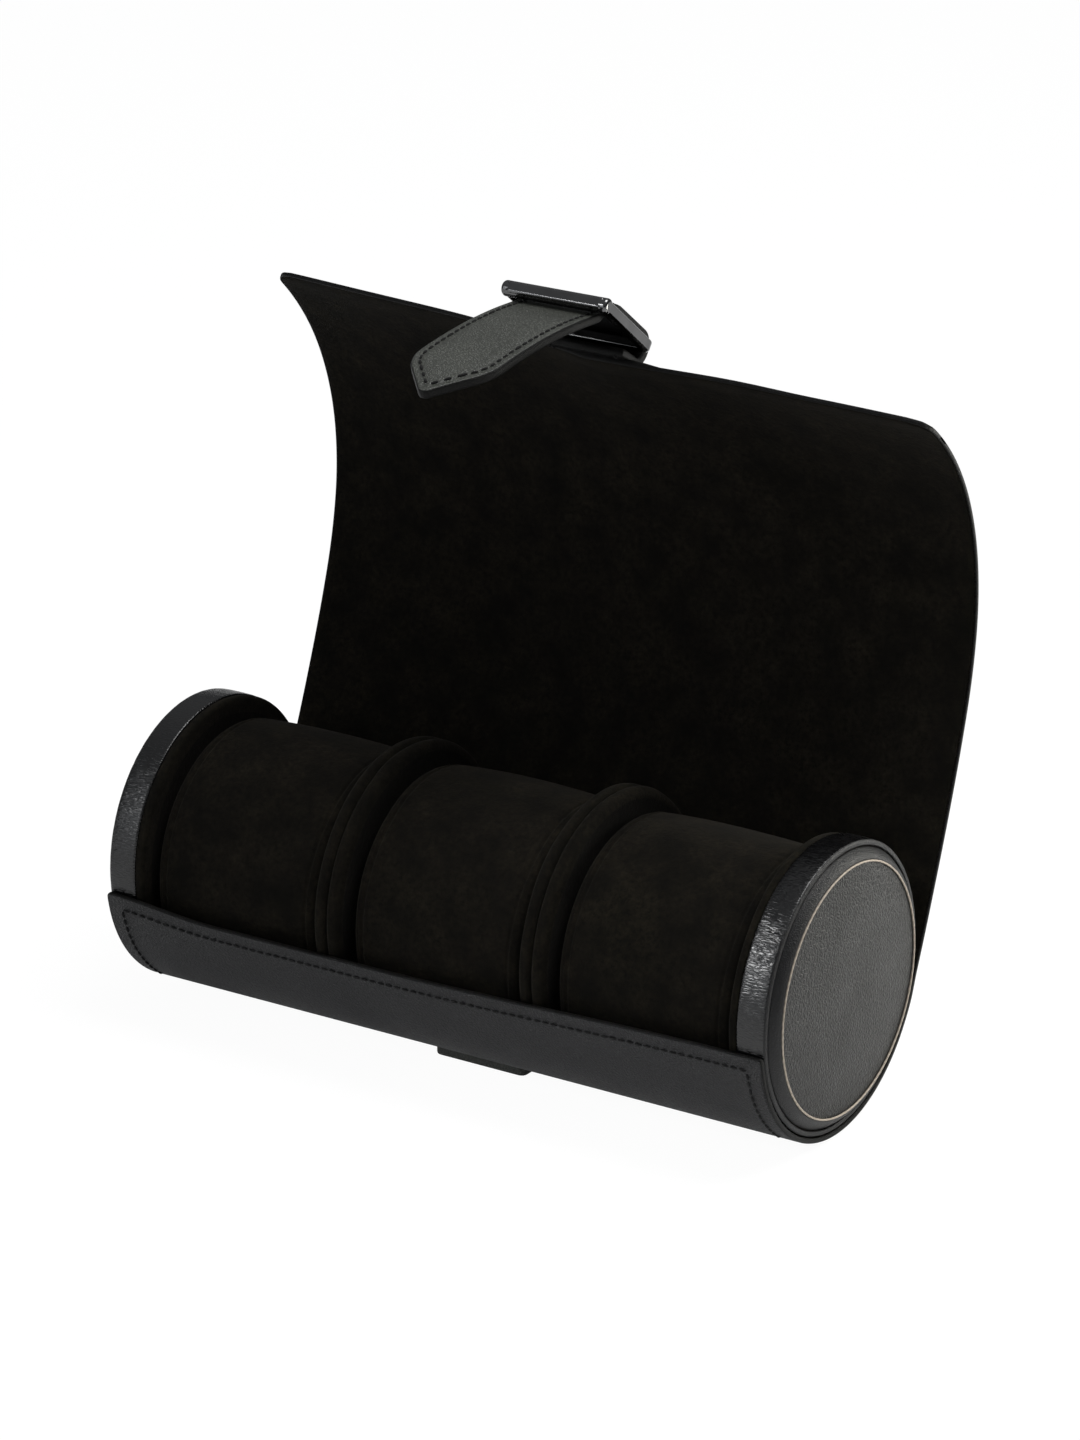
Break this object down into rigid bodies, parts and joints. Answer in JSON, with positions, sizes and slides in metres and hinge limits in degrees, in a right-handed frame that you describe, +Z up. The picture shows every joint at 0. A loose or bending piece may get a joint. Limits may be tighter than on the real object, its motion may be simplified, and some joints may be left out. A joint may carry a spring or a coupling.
{
  "type": "watch roll",
  "caption": "Cylindrical leather watch roll lying open: suede-lined trough and folding flap, buckled closing strap, round end caps, dividers and lift-out watch cuffs",
  "frame": {"origin": "on the table, at the middle of the landing pad's underside, below the roll's axis", "axes": "+X along the roll, -Y the front where the lip is, +Z up"},
  "size_m": [0.2478, 0.1291, 0.2411],
  "materials": {
    "grained_leather": "satin",
    "band_leather": "satin",
    "strap_leather": "satin",
    "suede": "matte",
    "foam": "matte",
    "fibreboard": "matte",
    "cream_piping": "matte",
    "gunmetal": "polished",
    "steel": "satin"
  },
  "bodies": {
    "roll": {"cover_base_leather": "grained_leather", "cover_base_lining": "suede", "landing_pad": "strap_leather", "keeper_plate": "steel", "cap_left_core": "fibreboard", "cap_left_band": "band_leather", "cap_left_pad": "grained_leather", "cap_left_piping": "cream_piping", "cap_left_facing": "suede", "cap_right_core": "fibreboard", "cap_right_band": "band_leather", "cap_right_pad": "grained_leather", "cap_right_piping": "cream_piping", "cap_right_facing": "suede", "divider_left_board": "fibreboard", "divider_left_cover_a": "suede", "divider_left_cover_b": "suede", "divider_right_board": "fibreboard", "divider_right_cover_a": "suede", "divider_right_cover_b": "suede"},
    "flap_1": {"flap_leather_1": "grained_leather", "flap_lining_1": "suede"},
    "flap_2": {"flap_leather_2": "grained_leather", "flap_lining_2": "suede"},
    "flap_3": {"flap_leather_3": "grained_leather", "flap_lining_3": "suede"},
    "flap_4": {"flap_leather_4": "grained_leather", "flap_lining_4": "suede"},
    "flap_5": {"flap_leather_5": "grained_leather", "flap_lining_5": "suede"},
    "flap_6": {"flap_leather_6": "grained_leather", "flap_lining_6": "suede"},
    "flap_7": {"flap_leather_7": "grained_leather", "flap_lining_7": "suede"},
    "flap_8": {"flap_leather_8": "grained_leather", "flap_lining_8": "suede"},
    "flap_9": {"flap_leather_9": "grained_leather", "flap_lining_9": "suede", "strap_anchor": "strap_leather"},
    "strap_1": {"strap_1": "strap_leather"},
    "strap_2": {"strap_2": "strap_leather"},
    "strap_3": {"strap_3": "strap_leather", "strap_magnet": "steel"},
    "strap_4": {"strap_4": "strap_leather"},
    "buckle": {"buckle_frame": "gunmetal"},
    "cuff_left": {"cuff_left_sleeve": "suede", "cuff_left_foam": "foam", "cuff_left_end_a": "suede", "cuff_left_end_b": "suede"},
    "cuff_centre": {"cuff_centre_sleeve": "suede", "cuff_centre_foam": "foam", "cuff_centre_end_a": "suede", "cuff_centre_end_b": "suede"},
    "cuff_right": {"cuff_right_sleeve": "suede", "cuff_right_foam": "foam", "cuff_right_end_a": "suede", "cuff_right_end_b": "suede"}
  },
  "joints": [
    {"name": "flap_bend_1", "type": "hinge", "parent": "roll", "child": "flap_1", "pos_m": [0, 0.04192, 0.02885], "axis": [1, 0, 0], "range_deg": [-1.61, 5.41]},
    {"name": "flap_fold", "type": "hinge", "parent": "flap_1", "child": "flap_2", "pos_m": [0, 0.05095, 0.04964], "axis": [1, 0, 0], "range_deg": [-10, 33.62]},
    {"name": "flap_bend_3", "type": "hinge", "parent": "flap_2", "child": "flap_3", "pos_m": [0, 0.05926, 0.07073], "axis": [1, 0, 0], "range_deg": [-7.33, 24.6]},
    {"name": "flap_bend_4", "type": "hinge", "parent": "flap_3", "child": "flap_4", "pos_m": [0, 0.06701, 0.09203], "axis": [1, 0, 0], "range_deg": [-7.16, 24.04]},
    {"name": "flap_bend_5", "type": "hinge", "parent": "flap_4", "child": "flap_5", "pos_m": [0, 0.07383, 0.11364], "axis": [1, 0, 0], "range_deg": [-6.27, 21.05]},
    {"name": "flap_bend_6", "type": "hinge", "parent": "flap_5", "child": "flap_6", "pos_m": [0, 0.07834, 0.13583], "axis": [1, 0, 0], "range_deg": [-4.6, 15.46]},
    {"name": "flap_bend_7", "type": "hinge", "parent": "flap_6", "child": "flap_7", "pos_m": [0, 0.07834, 0.15844], "axis": [1, 0, 0], "range_deg": [-3.44, 11.55]},
    {"name": "flap_bend_8", "type": "hinge", "parent": "flap_7", "child": "flap_8", "pos_m": [0, 0.0725, 0.18026], "axis": [1, 0, 0], "range_deg": [-2.93, 9.82]},
    {"name": "flap_bend_9", "type": "hinge", "parent": "flap_8", "child": "flap_9", "pos_m": [0, 0.06053, 0.19941], "axis": [1, 0, 0], "range_deg": [-2.94, 9.86]},
    {"name": "strap_wrap", "type": "hinge", "parent": "flap_9", "child": "strap_1", "pos_m": [0, 0.05299, 0.2192], "axis": [1, 0, 0], "range_deg": [-4, 13.5]},
    {"name": "strap_bend_2", "type": "hinge", "parent": "strap_1", "child": "strap_2", "pos_m": [0, 0.0226, 0.23265], "axis": [1, 0, 0], "range_deg": [-2.97, 10.01]},
    {"name": "strap_bend_3", "type": "hinge", "parent": "strap_2", "child": "strap_3", "pos_m": [0, -0.00014, 0.23265], "axis": [1, 0, 0], "range_deg": [-0.6, 2.01]},
    {"name": "strap_bend_4", "type": "hinge", "parent": "strap_3", "child": "strap_4", "pos_m": [0, -0.02278, 0.23047], "axis": [1, 0, 0], "range_deg": [-8.01, 27.01]},
    {"name": "buckle_swing", "type": "hinge", "parent": "strap_1", "child": "buckle", "pos_m": [0, 0.05299, 0.2192], "axis": [1, 0, 0], "range_deg": [-150, 0]},
    {"name": "cuff_left_lift", "type": "slide", "parent": "roll", "child": "cuff_left", "axis": [0, 0, -1], "range_m": [-0.095, 0]},
    {"name": "cuff_centre_lift", "type": "slide", "parent": "roll", "child": "cuff_centre", "axis": [0, 0, -1], "range_m": [-0.095, 0]},
    {"name": "cuff_right_lift", "type": "slide", "parent": "roll", "child": "cuff_right", "axis": [0, 0, -1], "range_m": [-0.095, 0]}
  ],
  "couplings": [
    {"joint": "flap_bend_1", "follows": "flap_fold", "ratio": 0.16051},
    {"joint": "flap_bend_3", "follows": "flap_fold", "ratio": 0.73149},
    {"joint": "flap_bend_4", "follows": "flap_fold", "ratio": 0.71476},
    {"joint": "flap_bend_5", "follows": "flap_fold", "ratio": 0.62575},
    {"joint": "flap_bend_6", "follows": "flap_fold", "ratio": 0.45942},
    {"joint": "flap_bend_7", "follows": "flap_fold", "ratio": 0.34317},
    {"joint": "flap_bend_8", "follows": "flap_fold", "ratio": 0.29175},
    {"joint": "flap_bend_9", "follows": "flap_fold", "ratio": 0.29296},
    {"joint": "strap_bend_2", "follows": "strap_wrap", "ratio": 0.74074},
    {"joint": "strap_bend_3", "follows": "strap_wrap", "ratio": 0.14815},
    {"joint": "strap_bend_4", "follows": "strap_wrap", "ratio": 2}
  ]
}
